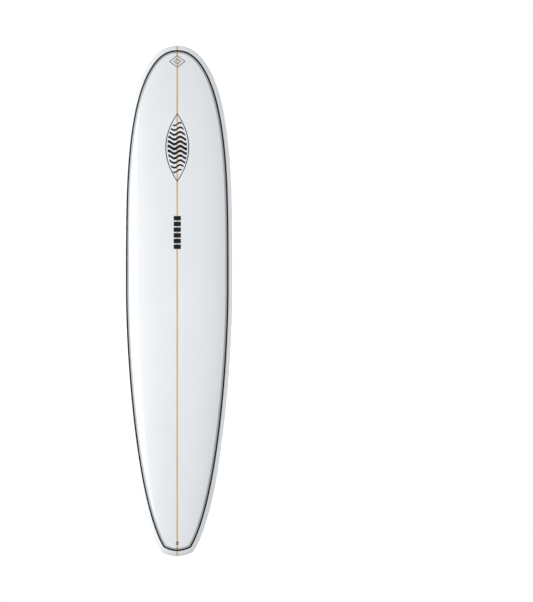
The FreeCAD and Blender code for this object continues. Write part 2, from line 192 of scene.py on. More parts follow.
# colours in pairs are mixed by a fine pattern
FOAM_DIM = (0.815, 0.842, 0.862, 1.0)
FOAM_BRIGHT = (0.845, 0.866, 0.884, 1.0)
WOOD_LATE = (0.58, 0.40, 0.17, 1.0)
WOOD_EARLY = (0.76, 0.58, 0.29, 1.0)
GLUE_LINE = (0.46, 0.34, 0.18, 1.0)
GLUE_STARTS = 0.84
GLUE_STRENGTH = 0.4
SPRAY = (0.03, 0.032, 0.036, 1.0)
SPRAY_COVER = (0.64, 0.42)
SPRAY_FADE_STARTS = 0.8
# painted shade for the inside of the leash cup's mouth
MOUTH_PAINTED_SHADE = (0.06, 0.052, 0.056, 1.0)
INKS = {
    "black_ink": ((0.008, 0.008, 0.010, 1.0), (0.018, 0.018, 0.021, 1.0)),
    "grey_ink": ((0.20, 0.205, 0.215, 1.0), (0.30, 0.305, 0.32, 1.0)),
    "pale_ink": ((0.30, 0.30, 0.32, 1.0), (0.40, 0.40, 0.42, 1.0)),
    "red_ink": ((0.44, 0.08, 0.085, 1.0), (0.56, 0.13, 0.135, 1.0)),
}
PAPER = ((0.80, 0.81, 0.82, 1.0), (0.90, 0.90, 0.90, 1.0))
PLUG_PLASTIC = ((0.035, 0.037, 0.040, 1.0), (0.075, 0.078, 0.082, 1.0))
CUP_PLASTIC = ((0.72, 0.74, 0.75, 1.0), (0.80, 0.81, 0.82, 1.0))
BOX_PLASTIC = ((0.17, 0.145, 0.135, 1.0), (0.23, 0.20, 0.185, 1.0))
SCREW_STEEL = ((0.28, 0.28, 0.29, 1.0), (0.40, 0.40, 0.41, 1.0))
STAINLESS = ((0.55, 0.55, 0.55, 1.0), (0.68, 0.68, 0.67, 1.0))
FLOOR = ((0.18, 0.183, 0.186, 1.0), (0.20, 0.203, 0.206, 1.0))
WHITE = (1.0, 1.0, 1.0, 1.0)

WEAVE_PITCH = 1.1 * MM
FULL_COAT = {"Coat_Weight": 1.0, "Coat_Roughness": 0.035, "Coat_IOR": 1.5, "Specular_IOR_Level": 0.4}

FLOOR_RADIUS = 70.0
FLOOR_GAP = 1.0 * MM
FLOOR_GLOW = 0.72
WORLD_COLOUR = (0.975, 0.985, 1.0, 1.0)
WORLD_LIGHT = 0.62
# name, place, (width, height), power, and whether gloss reflects it: the key's reflection would
# burn a white strip along the rail
LIGHTS = [
    ("key", (-2.6, -1.05, -0.05), (1.0, 2.4), 58.0, False),
    ("front", (-1.8, -3.2, -0.1), (1.2, 2.2), 21.0, True),
    ("fill", (2.6, -0.5, 0.0), (0.8, 2.6), 8.0, True),
    ("back", (1.9, 3.5, 0.1), (1.6, 2.4), 74.0, True),
]
# the view is as tall as this, and the board stands to the left of its middle
VIEW_HEIGHT = 3.238
VIEW_OFFSET = 0.480
CAMERA_DISTANCE = 6.0


# ---- the board's form ----

def half_width(z):
    """Half the board's width at a place along it."""
    if z > WIDE_POINT:
        reach = (z - WIDE_POINT) / (HALF - WIDE_POINT)
        return HALF_WIDTH * (1 - reach ** NOSE_FULLNESS) ** (1 / NOSE_ROUNDNESS)
    reach = (WIDE_POINT - z) / TAIL_REACH
    return HALF_WIDTH * (1 - reach ** TAIL_FULLNESS) ** (1 / TAIL_ROUNDNESS)


def rocker(z):
    """Height of the bottom's centre line above its lowest level."""
    if z > 0:
        return NOSE_ROCKER * (z / HALF) ** NOSE_ROCKER_POWER
    return TAIL_ROCKER * (-z / HALF) ** TAIL_ROCKER_POWER


def thickness(z):
    end = NOSE_THICKNESS if z > 0 else TAIL_THICKNESS
    return THICKNESS - (THICKNESS - end) * abs(z / HALF) ** THICKNESS_POWER


def rail_share(z):
    """How far up the thickness the rail's widest line lies."""
    change = RAIL_RISE_AT_NOSE if z > 0 else -RAIL_DROP_AT_TAIL
    return RAIL_HEIGHT + change * (z / HALF) ** 2


def bow(z):
    """How far the middle of a crosswise line stands out towards the nearer end."""
    at_tail = TAIL_BOW * math.exp((TAIL_CORNER - z) / TAIL_BOW_FADE)
    at_nose = NOSE_BOW * math.exp((z - NOSE_END) / NOSE_BOW_FADE)
    return at_nose - at_tail


def end_rounding(z):
    """Falls to nothing, as a rounded edge does, at the tail and at the nose."""
    from_tail = 1 - math.exp((TAIL_CORNER - z) / EDGE_ROUND)
    from_nose = 1 - math.exp((z - NOSE_END) / EDGE_ROUND)
    return math.sqrt(max(from_tail, 0.0) * max(from_nose, 0.0))


def form_point(along, across, deck, inset):
    """A point of the deck or the bottom; along and across run from 0 to 1, tail to nose and
    starboard to port, and inset moves it into the board."""
    middle = (NOSE_END + TAIL_CORNER) / 2
    reach = (NOSE_END - TAIL_CORNER) / 2
    z = middle - reach * math.cos(math.pi * along)
    c = math.cos(math.pi * across)
    share = rail_share(z) * thickness(z)
    if deck:
        swell = (thickness(z) - share - inset) * (1 - abs(c) ** DECK_DOME) ** 0.5
    else:
        swell = -(share - inset) * (1 - abs(c) ** BOTTOM_FLATNESS) ** 0.5
    height = rocker(z) + share + swell * end_rounding(z)
    place = (z + bow(z) * (1 - c * c)) * (1 - inset / HALF)
    return (half_width(z) - inset) * c, -height, place


def control_places(spans):
    """Where the control rows of a clamped cubic surface lie, from 0 to 1."""
    inner = [i / spans for i in range(1, spans)]
    near = 1 / (3 * spans)
    return [0.0, near] + inner + [1 - near, 1.0]


def cubic_weights(spans, per_span):
    """How much each control row counts at each drawn row of a clamped cubic surface."""
    knots = np.array([0] * 3 + list(range(spans + 1)) + [spans] * 3, float)
    places = np.linspace(0, spans, spans * per_span + 1)
    places[-1] -= 1e-9  # so that the last row falls in the last span
    weights = ((knots[:-1] <= places[:, None]) & (places[:, None] < knots[1:])).astype(float)
    for degree in (1, 2, 3):
        made = np.zeros((len(places), len(knots) - 1 - degree))
        for i in range(made.shape[1]):
            rise = knots[i + degree] - knots[i]
            fall = knots[i + degree + 1] - knots[i + 1]
            if rise > 0:
                made[:, i] += (places - knots[i]) / rise * weights[:, i]
            if fall > 0:
                made[:, i] += (knots[i + degree + 1] - places) / fall * weights[:, i + 1]
        weights = made
    return weights


def surface_grid(deck, inset):
    """Points of the deck or the bottom, as rows from tail to nose of columns across."""
    poles = np.array([
        [form_point(a, b, deck, inset) for b in control_places(WIDTH_SPANS)]
        for a in control_places(LENGTH_SPANS)
    ])
    along = cubic_weights(LENGTH_SPANS, ROWS_PER_SPAN)
    across = cubic_weights(WIDTH_SPANS, COLUMNS_PER_SPAN)
    return np.einsum("ai,ijk,bj->abk", along, poles, across)


# ---- mesh helpers ----

def new_object(name, vertices, faces):
    mesh = bpy.data.meshes.new(name)
    mesh.from_pydata([tuple(v) for v in vertices], [], [tuple(f) for f in faces])
    mesh.validate()
    made = bpy.data.objects.new(name, mesh)
    bpy.context.scene.collection.objects.link(made)
    return made


def outward(piece):
    """Turns every face of a closed mesh outwards."""
    work = bmesh.new()
    work.from_mesh(piece.data)
    bmesh.ops.recalc_face_normals(work, faces=work.faces)
    work.to_mesh(piece.data)
    work.free()


def smooth(piece):
    """Smooth shading, except across sharp edges."""
    piece.data.polygons.foreach_set("use_smooth", [True] * len(piece.data.polygons))
    work = bmesh.new()
    work.from_mesh(piece.data)
    limit = math.radians(SHARP_EDGE)
    for edge in work.edges:
        edge.smooth = len(edge.link_faces) == 2 and edge.calc_face_angle(0.0) < limit
    work.to_mesh(piece.data)
    work.free()


def dress(piece, material, replaces=()):
    """Gives a piece its material and the CAD nodes it stands for, and sets it on the board."""
    piece.data.materials.clear()
    piece.data.materials.append(material)
    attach(piece, "board")
    if replaces:
        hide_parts(*replaces)


def shell(name, outer, inner):
    """A closed shell between two grids of points."""
    rows, columns, _ = outer.shape
    count = rows * columns
    vertices = np.concatenate([outer.reshape(-1, 3), inner.reshape(-1, 3)])
    faces = []
    for r in range(rows - 1):
        for c in range(columns - 1):
            a = r * columns + c
            quad = (a, a + 1, a + columns + 1, a + columns)
            faces.append(quad)
            faces.append(tuple(i + count for i in reversed(quad)))
    rim = [(0, c) for c in range(columns)]
    rim += [(r, columns - 1) for r in range(1, rows)]
    rim += [(rows - 1, c) for c in range(columns - 2, -1, -1)]
    rim += [(r, 0) for r in range(rows - 2, 0, -1)]
    ring = [r * columns + c for r, c in rim]
    for a, b in zip(ring, ring[1:] + ring[:1]):
        faces.append((a, a + count, b + count, b))
    piece = new_object(name, vertices, faces)
    outward(piece)
    return piece


# ---- node trees ----

class Nodes:
    """A short way to build a material's node tree."""

    def __init__(self, material):
        self.material = material
        self.tree = material.node_tree
        self.shader = self.tree.nodes["Principled BSDF"]

    def add(self, kind, inputs=None, **settings):
        node = self.tree.nodes.new(kind)
        for key, value in settings.items():
            setattr(node, key, value)
        for key, value in (inputs or {}).items():
            self.put(node.inputs[key], value)
        return node

    def put(self, socket, value):
        if isinstance(value, bpy.types.NodeSocket):
            self.tree.links.new(value, socket)
        else:
            socket.default_value = value

    def set(self, **values):
        """Sets the shader's sockets; underscores in a key stand for spaces."""
        for key, value in values.items():
            self.put(self.shader.inputs[key.replace("_", " ")], value)

    def math(self, operation, a, b=0.0, c=0.0):
        return self.add("ShaderNodeMath", {0: a, 1: b, 2: c}, operation=operation).outputs[0]

    def mix(self, factor, a, b):
        node = self.add("ShaderNodeMix", data_type="RGBA")
        self.put(node.inputs["Factor"], factor)
        self.put(node.inputs["A"], a)
        self.put(node.inputs["B"], b)
        return node.outputs["Result"]

    def place(self):
        return self.add("ShaderNodeTexCoord").outputs["Object"]

    def stretched(self, x, y, z):
        made = self.add("ShaderNodeMapping", {"Vector": self.place(), "Scale": (x, y, z)})
        return made.outputs["Vector"]

    def noise(self, vector, scale, detail, roughness=0.5):
        made = self.add("ShaderNodeTexNoise", {
            "Vector": vector, "Scale": scale, "Detail": detail, "Roughness": roughness,
        })
        return made.outputs["Fac"]

    def between(self, value, low, high, to_low=0.0, to_high=1.0):
        made = self.add("ShaderNodeMapRange", {
            "Value": value, "From Min": low, "From Max": high, "To Min": to_low, "To Max": to_high,
        })
        return made.outputs["Result"]

    def bump(self, height, strength, distance):
        made = self.add("ShaderNodeBump", {"Height": height, "Strength": strength, "Distance": distance})
        return made.outputs["Normal"]


def new_nodes(name):
    """The node tree of a new material."""
    material = bpy.data.materials.new(name)
    material.use_nodes = True
    return Nodes(material)


def weave(n):
    """Height of plain-woven glass cloth lying along the board, 0 to 1."""
    part = n.add("ShaderNodeSeparateXYZ", {"Vector": n.place()})
    radians_per_metre = 2 * math.pi / WEAVE_PITCH
    warp = n.math("SINE", n.math("MULTIPLY", part.outputs["X"], radians_per_metre))
    weft = n.math("SINE", n.math("MULTIPLY", part.outputs["Z"], radians_per_metre))
    return n.math("MULTIPLY_ADD", n.math("MULTIPLY", warp, weft), 0.5, 0.5)


def core_colour(n, cells):
    """Colour of the foam and of the wooden stringer between its halves, with its glue lines."""
    part = n.add("ShaderNodeSeparateXYZ", {"Vector": n.place()})
    off_centre = n.math("ABSOLUTE", part.outputs["X"])
    clouds = n.noise(n.place(), 3.5, 4.0)
    tint = n.between(n.math("ADD", clouds, n.math("MULTIPLY", cells, 0.4)), 0.5, 0.9)
    foam = n.mix(tint, FOAM_DIM, FOAM_BRIGHT)
    glue = n.between(off_centre, GLUE_STARTS * STRINGER / 2, STRINGER / 2)
    wood = n.mix(n.math("MULTIPLY", glue, GLUE_STRENGTH), wood_grain(n), GLUE_LINE)
    in_foam = n.between(off_centre, STRINGER / 2 - 0.15 * MM, STRINGER / 2 + 0.25 * MM)
    return n.mix(in_foam, wood, foam)


def laminate_material(name):
    """White foam and the wooden stringer, seen through clear laminate with a polished coat."""
    n = new_nodes(name)
    cells = n.noise(n.place(), 260.0, 2.0)
    n.set(Base_Color=core_colour(n, cells))
    n.set(Roughness=n.between(cells, 0.3, 0.7, 0.33, 0.39), **FULL_COAT)
    n.set(Normal=n.bump(weave(n), 0.10, 0.03 * MM))
    ripple = n.noise(n.place(), 5.0, 1.0)
    n.set(Coat_Normal=n.bump(ripple, 0.02, 0.4 * MM))
    return n.material


def wood_grain(n):
    """Colour of pale softwood with its grain along the board."""
    grain = n.noise(n.stretched(420.0, 60.0, 7.0), 1.0, 5.0, 0.62)
    return n.mix(n.between(grain, 0.34, 0.68), WOOD_LATE, WOOD_EARLY)


def wood_material(name):
    """The stringer's own planed wood."""
    n = new_nodes(name)
    n.set(Base_Color=wood_grain(n), Roughness=0.6)
    pores = n.noise(n.stretched(900.0, 900.0, 40.0), 1.0, 3.0)
    n.set(Normal=n.bump(pores, 0.3, 0.1 * MM))
    return n.material


def foam_material(name):
    """Sanded closed-cell foam."""
    n = new_nodes(name)
    cells = n.noise(n.place(), 700.0, 2.0)
    n.set(Base_Color=n.mix(cells, FOAM_DIM, FOAM_BRIGHT), Roughness=0.85)
    n.set(Normal=n.bump(cells, 0.4, 0.1 * MM))
    return n.material


def ink_material(name, colours):
    """Ink or paint, a little uneven where it was pulled or sprayed."""
    n = new_nodes(name)
    patchy = n.noise(n.place(), 55.0, 4.0)
    fine = n.noise(n.place(), 900.0, 2.0)
    amount = n.between(n.math("ADD", patchy, n.math("MULTIPLY", fine, 0.5)), 0.45, 1.05)
    n.set(Base_Color=n.mix(amount, *colours))
    n.set(Roughness=n.between(fine, 0.3, 0.7, 0.36, 0.48), Specular_IOR_Level=0.1)
    n.set(Coat_Weight=0.1, Coat_Roughness=0.08, Coat_IOR=1.4)
    n.set(Normal=n.bump(fine, 0.08, 0.02 * MM))
    return n.material


def shade_material(name):
    """Sprayed grey that lets the core show and fades from the pinline, by its own across value."""
    n = new_nodes(name)
    across = n.add("ShaderNodeAttribute", attribute_name="across").outputs["Fac"]
    speckle = n.noise(n.place(), 700.0, 2.0)
    edge = n.math("ADD", across, n.between(speckle, 0.3, 0.7, -0.06, 0.06))
    body = n.between(edge, 0.0, SPRAY_FADE_STARTS, *SPRAY_COVER)
    fade = n.between(edge, SPRAY_FADE_STARTS, 1.0, 1.0, 0.0)
    n.set(Base_Color=n.mix(n.math("MULTIPLY", body, fade), core_colour(n, speckle), SPRAY))
    n.set(Roughness=n.between(speckle, 0.3, 0.7, 0.33, 0.39), **FULL_COAT)
    return n.material


def plastic_material(name, colours, roughness, grain):
    """Moulded plastic, sanded flush: fine grain, faint scratches along the board."""
    n = new_nodes(name)
    spots = n.noise(n.place(), 1600.0, 3.0)
    drift = n.noise(n.place(), 60.0, 3.0)
    scratches = n.noise(n.stretched(2600.0, 2600.0, 120.0), 1.0, 4.0, 0.6)
    amount = n.between(n.math("ADD", drift, n.math("MULTIPLY", spots, 0.6)), 0.5, 1.1)
    n.set(Base_Color=n.mix(amount, *colours))
    n.set(Roughness=n.between(scratches, 0.3, 0.7, roughness - 0.08, roughness + 0.08))
    n.set(Coat_Weight=0.15, Coat_Roughness=0.3)
    height = n.math("ADD", spots, n.math("MULTIPLY", scratches, 0.7))
    n.set(Normal=n.bump(height, grain, 0.05 * MM))
    return n.material


def paint_shade_below(material, placement, colour):
    """Paints shade into a material's colour below the surface that a placement lies on, as the painted
    shade inside a deep narrow mouth.
    """
    n = Nodes(material)
    inward = placement.to_3x3() @ Vector((0, 1, 0))
    along = n.add("ShaderNodeVectorMath", {0: n.place(), 1: inward}, operation="DOT_PRODUCT")
    level = inward.dot(placement.translation)
    shade_mask = n.between(along.outputs["Value"], level + MOUTH_RIM, level + 2 * MOUTH_RIM)
    above = n.shader.inputs["Base Color"].links[0].from_socket
    n.set(Base_Color=n.mix(shade_mask, above, colour))


def steel_material(name, colours, roughness):
    """Stainless steel with fine turning marks."""
    n = new_nodes(name)
    lines = n.noise(n.stretched(300.0, 3000.0, 3000.0), 1.0, 3.0)
    stains = n.noise(n.place(), 220.0, 3.0)
    n.set(Base_Color=n.mix(n.between(stains, 0.35, 0.7), *colours))
    n.set(Metallic=1.0, Roughness=n.between(lines, 0.3, 0.7, roughness - 0.07, roughness + 0.1))
    n.set(Normal=n.bump(lines, 0.15, 0.02 * MM))
    return n.material


def paper_material(name):
    """Thin white paper soaked in resin."""
    n = new_nodes(name)
    fibres = n.noise(n.stretched(500.0, 500.0, 160.0), 1.0, 5.0, 0.65)
    n.set(Base_Color=n.mix(n.between(fibres, 0.3, 0.7), *PAPER))
    n.set(Roughness=n.between(fibres, 0.3, 0.7, 0.32, 0.42))
    n.set(Coat_Weight=1.0, Coat_Roughness=0.05, Coat_IOR=1.5)
    n.set(Normal=n.bump(fibres, 0.06, 0.03 * MM))
    return n.material


def floor_material():
    """Pale floor, mostly of its own light, so that the lamps beside the board don't burn it out."""
    n = new_nodes("pale_floor")
    clouds = n.noise(n.place(), 2.0, 4.0)
    n.set(Base_Color=n.mix(clouds, *FLOOR))
    n.set(Roughness=0.8, Emission_Color=WHITE, Emission_Strength=FLOOR_GLOW)
    return n.material


# ---- skins ----

def skin_piece(face, deck):
    """The deck or bottom laminate as a fine closed shell."""
    return shell(face + "_laminate", surface_grid(deck, 0.0), surface_grid(deck, GLASS))


def slope_angle(level, z):
    """Slope along the board of a level given as a function, in radians."""
    return math.atan((level(z + SLOPE_STEP) - level(z - SLOPE_STEP)) / (2 * SLOPE_STEP))


def on_bottom(x, from_tail, turn):
    """Placement on the bottom: local +Y stands out of it and local +Z runs to the nose."""
    z = from_tail - HALF
    tilt = Matrix.Rotation(slope_angle(rocker, z), 4, "X")
    return Matrix.Translation((x, -rocker(z), z)) @ tilt @ Matrix.Rotation(math.radians(turn), 4, "Y")


def deck_level(z):
    """Height of the deck's centre line above the bottom's lowest level."""
    return rocker(z) + thickness(z)


def on_deck(from_tail):
    """Placement on the deck's centre line: local +Y runs into the board, square to the deck."""
    z = from_tail - HALF
    return Matrix.Translation((0, -deck_level(z), z)) @ Matrix.Rotation(slope_angle(deck_level, z), 4, "X")


def arc(middle, radius, start, end, steps=24):
    """Points of an arc as (x, z), the angles in radians from +X towards +Z."""
    angles = np.linspace(start, end, steps + 1)
    return [(radius * math.cos(t), middle + radius * math.sin(t)) for t in angles]


def circle(radius, steps):
    return arc(0.0, radius, 0.0, 2 * math.pi, steps)[:-1]


def plug_outline():
    """Two round lobes joined by a straight-sided waist."""
    radius = PLUG_LOBE_RADIUS + SEAM
    bite = math.asin((PLUG_WAIST / 2 + SEAM) / radius)
    front = arc(PLUG_LOBE_PLACE, radius, bite - math.pi / 2, 1.5 * math.pi - bite)
    return front + [(-x, -z) for x, z in front]


def slot_outline():
    """The fin box's slot, with the round notch at its middle."""
    radius = BOX_SLOT_WIDTH / 2
    run = BOX_SLOT_LENGTH / 2 - radius
    bite = math.acos(radius / BOX_NOTCH_RADIUS)
    half = arc(0.0, BOX_NOTCH_RADIUS, -bite, bite) + arc(run, radius, 0.0, math.pi)
    return half + [(-x, -z) for x, z in half]


def cut_out(piece, outline, placement):
    """Cuts an outline through a skin, square to the surface where it is placed."""
    count = len(outline)
    vertices = [placement @ Vector((x, y, z)) for y in (-CUT_REACH, CUT_REACH) for x, z in outline]
    faces = [tuple(range(count)), tuple(range(count, 2 * count))]
    for i in range(count):
        after = (i + 1) % count
        faces.append((i, after, count + after, count + i))
    tool = new_object("cutter", vertices, faces)
    outward(tool)
    modifier = piece.modifiers.new("cut", "BOOLEAN")
    modifier.operation = "DIFFERENCE"
    modifier.solver = "EXACT"
    modifier.object = tool
    solved = piece.evaluated_get(bpy.context.evaluated_depsgraph_get())
    piece.data = bpy.data.meshes.new_from_object(solved)
    piece.modifiers.clear()
    bpy.data.objects.remove(tool)


def cut_sockets(skins):
    """Opens the skins over the hardware that is flush with them, and over the fin box's slot."""
    cut_out(skins["deck"], circle(LEASH_RADIUS + SEAM, 64), on_deck(LEASH_FROM_TAIL))
    cut_out(skins["bottom"], slot_outline(), on_bottom(0, BOX_FROM_TAIL, 0))
    for side in (1, -1):
        placement = on_bottom(side * PLUG_OFFSET, PLUG_FROM_TAIL, -side * PLUG_TOE)
        cut_out(skins["bottom"], plug_outline(), placement)


def tree_of(piece):
    work = bmesh.new()
    work.from_mesh(piece.data)
    tree = BVHTree.FromBMesh(work)
    work.free()
    return tree


# ---- pinlines and marks, as ribbons laid on the surface ----

def surface_point(tree, deck, x, z, lift):
    """The surface's point at a place in x and z, raised square to it."""
    way = Vector((0, 1, 0)) if deck else Vector((0, -1, 0))
    hit, normal, _, _ = tree.ray_cast(Vector((x, -RAY_START * way.y, z)), way)
    if normal.dot(way) > 0:
        normal = -normal
    return hit + normal * lift


def ribbon_faces(start, rows, columns, closed):
    """Faces of one thin solid, whose upper points are numbered before its lower ones."""
    wide = columns + 1
    under = rows * wide
    faces = []
    for r in range(rows if closed else rows - 1):
        here = start + r * wide
        then = start + ((r + 1) % rows) * wide
        for k in range(columns):
            faces.append((here + k, here + k + 1, then + k + 1, then + k))
            below = here + k + under
            beyond = then + k + under
            faces.append((beyond, beyond + 1, below + 1, below))
        for k in (0, columns):
            faces.append((here + k, then + k, then + k + under, here + k + under))
    if not closed:
        for end in (start, start + (rows - 1) * wide):
            for k in range(end, end + columns):
                faces.append((k, k + 1, k + 1 + under, k + under))
    return faces


def laid_ribbons(name, ribbons, deck, tree, columns, lift=INK):
    """Closed thin solids on the surface. A ribbon is two edges of as many points, and closed or not.
    The attribute called across runs from 0 on the first edge to 1 on the second."""
    vertices = []
    faces = []
    shares = []
    for first, second, closed in ribbons:
        faces += ribbon_faces(len(vertices), len(first), columns, closed)
        for level in (lift, -INK_SUNK):
            for (xa, za), (xb, zb) in zip(first, second):
                for k in range(columns + 1):
                    t = k / columns
                    x, z = xa + (xb - xa) * t, za + (zb - za) * t
                    vertices.append(surface_point(tree, deck, x, z, level))
                    shares.append(t)
    piece = new_object(name, vertices, faces)
    across = piece.data.attributes.new("across", "FLOAT", "POINT")
    across.data.foreach_set("value", shares)
    outward(piece)
    smooth(piece)
    return piece


def side_point(z, inset):
    """A point inside the starboard outline, inset square to it, as (x, z)."""
    slope = (half_width(z + SIDE_STEP) - half_width(z - SIDE_STEP)) / (2 * SIDE_STEP)
    size = math.hypot(1, slope)
    return half_width(z) - inset / size, z + inset * slope / size


def tail_point(x, inset):
    """Height along the board of the tail's edge, moved in, at a distance from the stringer."""
    corner = half_width(TAIL_CORNER)
    slope = 2 * TAIL_BOW * x / corner ** 2
    return -HALF + TAIL_BOW * (x / corner) ** 2 + (inset + PIN_TAIL_EXTRA) * math.hypot(1, slope)


def side_start(inset):
    """Where along the board the moved-in side meets the moved-in tail, found by halving."""
    low = TAIL_CORNER
    high = WIDE_POINT
    while high - low > CORNER_CLOSENESS:
        middle = (low + high) / 2
        x, z = side_point(middle, inset)
        if z < tail_point(x, inset):
            low = middle
        else:
            high = middle
    return low


def inset_outline(inset, side_steps=420, tail_steps=40):
    """The board's outline moved in, once round, as a closed line of points."""
    corner_place = side_start(inset)
    span = HALF - NOSE_GAP - corner_place
    starboard = []
    for i in range(side_steps):
        turn = math.pi / 2 * i / side_steps
        starboard.append(side_point(corner_place + span * math.sin(turn), inset))
    port = [(-x, z) for x, z in reversed(starboard)]
    corner = starboard[0][0]
    tail = []
    for i in range(1, tail_steps):
        x = corner * (2 * i / tail_steps - 1)
        tail.append((x, tail_point(x, inset)))
    return starboard + [(0.0, HALF - inset)] + port + tail


def straight(start, end, steps):
    return [(start[0] + (end[0] - start[0]) * i / steps, start[1] + (end[1] - start[1]) * i / steps)
            for i in range(steps + 1)]


def loop_of(corners, steps):
    """A closed polygon's edges, each cut into steps."""
    points = []
    for a, b in zip(corners, corners[1:] + corners[:1]):
        points += straight(a, b, steps)[:-1]
    return points


def rectangle(x0, x1, z0, z1, steps=6):
    """A filled rectangle as one ribbon."""
    return straight((x0, z0), (x0, z1), steps), straight((x1, z0), (x1, z1), steps), False


def frame_of(x0, x1, z0, z1, line, steps=8):
    """A rectangular frame as one closed ribbon."""
    outer = loop_of([(x0, z0), (x1, z0), (x1, z1), (x0, z1)], steps)
    x0, x1, z0, z1 = x0 + line, x1 - line, z0 + line, z1 - line
    inner = loop_of([(x0, z0), (x1, z0), (x1, z1), (x0, z1)], steps)
    return outer, inner, True


def rhombus(width, height, middle, steps=10):
    """Once round a rhombus on the stringer."""
    x, z = width / 2, height / 2
    return loop_of([(x, middle), (0, middle + z), (-x, middle), (0, middle - z)], steps)


def nose_mark_ribbons():
    """Two rhombus frames, one inside the other."""
    middle = HALF - NOSE_MARK_DROP
    made = []
    for scale in (1.0, 0.5):
        wide = NOSE_MARK_WIDTH * scale
        high = NOSE_MARK_HEIGHT * scale
        line = 2 * NOSE_MARK_LINE * math.hypot(1 / wide, 1 / high)
        inner = rhombus(wide * (1 - line), high * (1 - line), middle)
        made.append((rhombus(wide, high, middle), inner, True))
    return made


def lens_width(share, shrink):
    """Half the width of the badge's lens at a share of its height, from -1 to 1."""
    return max((BADGE_WIDTH / 2) * (1 - share * share) - shrink, 0.0)


def lens_edge(shrink, steps=60):
    """Once round a tall pointed lens."""
    reach = math.sqrt(1 - 2 * shrink / BADGE_WIDTH)
    right = []
    for i in range(steps + 1):
        share = reach * (2 * i / steps - 1)
        right.append((lens_width(share, shrink), BADGE_MIDDLE + BADGE_HALF_HEIGHT * share))
    return right + [(-x, z) for x, z in reversed(right[1:-1])]


def wave_edge(base, swing, steps=40):
    """One wavy edge across the lens at a height along the board."""
    reach = lens_width((base - BADGE_MIDDLE) / BADGE_HALF_HEIGHT, BADGE_MARGIN)
    xs = [reach * (2 * k / steps - 1) for k in range(steps + 1)]
    return [(x, base + swing * math.sin(4 * math.pi * x / BADGE_WIDTH)) for x in xs]


def badge_ribbons():
    """A lens-shaped frame filled with wave bands that thin out towards its two points."""
    pitch = 2 * WAVE_ZONE * BADGE_HALF_HEIGHT / BADGE_WAVES
    swing = WAVE_SWING * pitch
    made = [(lens_edge(0.0), lens_edge(BADGE_LINE), True)]
    for i in range(BADGE_WAVES):
        level = i - (BADGE_WAVES - 1) / 2
        centre = BADGE_MIDDLE + level * pitch
        half_band = pitch * (WAVE_FILL - WAVE_THINNING * abs(level)) / 2
        made.append((wave_edge(centre - half_band, swing), wave_edge(centre + half_band, swing), False))
    return made


def bar_ribbons():
    """A stack of plain bars."""
    pitch = (BAR_BOTTOM - BAR_TOP) / BAR_COUNT
    half_bar = BAR_WIDTH / 2
    made = []
    for i in range(BAR_COUNT):
        low = HALF - BAR_BOTTOM + i * pitch
        made.append(rectangle(-half_bar, half_bar, low, low + pitch * BAR_FILL))
    return made


def dash_corners(side, shrink):
    """The corners of one of two leaning dashes, side by side across the stringer."""
    middle = DASH_FROM_TAIL - HALF
    near = side * (DASH_GAP / 2 + shrink)
    far = side * (DASH_GAP / 2 + DASH_LENGTH - shrink)
    low = middle - DASH_HEIGHT / 2 + shrink
    high = middle + DASH_HEIGHT / 2 - shrink
    lean = DASH_LEAN * (high - low) / DASH_HEIGHT
    return [(near - lean, low), (far - lean, low), (far + lean, high), (near + lean, high)]


def dash_ribbon(side, steps=4):
    low_near, low_far, high_far, high_near = dash_corners(side, 0.0)
    return straight(low_near, high_near, steps), straight(low_far, high_far, steps), False


def dash_edge_ribbons(steps=6):
    """A dark line round each of the two dashes."""
    made = []
    for side in (1, -1):
        outer = loop_of(dash_corners(side, 0.0), steps)
        inner = loop_of(dash_corners(side, DASH_EDGE), steps)
        made.append((outer, inner, True))
    return made


def tail_mark_ribbons(steps=4):
    """A small rhombus on the stringer with two short dashes on each side of it."""
    middle = TAIL_MARK_FROM_TAIL - HALF
    half_height = TAIL_DASH_HEIGHT / 2
    half_rhombus = TAIL_RHOMBUS / 2
    centre = middle + TAIL_RHOMBUS_RISE
    left = straight((-half_rhombus, centre), (0, centre + half_rhombus), steps)
    right = straight((0, centre - half_rhombus), (half_rhombus, centre), steps)
    made = [(left, right, False)]
    for place in (-2, -1, 1, 2):
        x0 = place * TAIL_DASH_PITCH - TAIL_DASH_LENGTH / 2
        made.append(rectangle(x0, x0 + TAIL_DASH_LENGTH, middle - half_height, middle + half_height, 2))
    return made


def label_ribbons(low, high):
    """Thin grey rules for the label: a frame, a line across, a small square and a long rule."""
    x0, x1 = low.x + LABEL_MARGIN, high.x - LABEL_MARGIN
    z0, z1 = low.z + LABEL_MARGIN, high.z - LABEL_MARGIN
    tall = z1 - z0
    divide = z0 + LABEL_DIVIDE * tall
    square = divide + LABEL_SQUARE
    rule = x0 + LABEL_RULE_INSET
    below, above = LABEL_RULE_GAPS
    return [
        frame_of(x0, x1, z0, z1, LABEL_LINE),
        rectangle(x0 + LABEL_LINE, x1 - LABEL_LINE, divide, divide + LABEL_LINE, 2),
        rectangle(-LABEL_SQUARE / 2, LABEL_SQUARE / 2, square, square + LABEL_SQUARE, 2),
        rectangle(rule, rule + LABEL_RULE, z0 + below * tall, divide - above * tall, 6),
    ]


def label_bars(low, high):
    """Three plain dark bars in the lower part of the label."""
    made = []
    for x, start, end in LABEL_BARS:
        z0 = low.z + start * (high.z - low.z)
        z1 = low.z + end * (high.z - low.z)
        made.append(rectangle(x, x + LABEL_BAR, z0, z1, 4))
    return made


# ---- build ----

def add_skins():
    """The two laminate shells, and a search tree of each from before its sockets were cut."""
    laminate = laminate_material("laminate")
    skins = {face: skin_piece(face, deck) for face, deck in FACES}
    trees = {face: tree_of(piece) for face, piece in skins.items()}
    cut_sockets(skins)
    for face, piece in skins.items():
        smooth(piece)
        dress(piece, laminate, replaces=[face + "_glass"])
    return trees


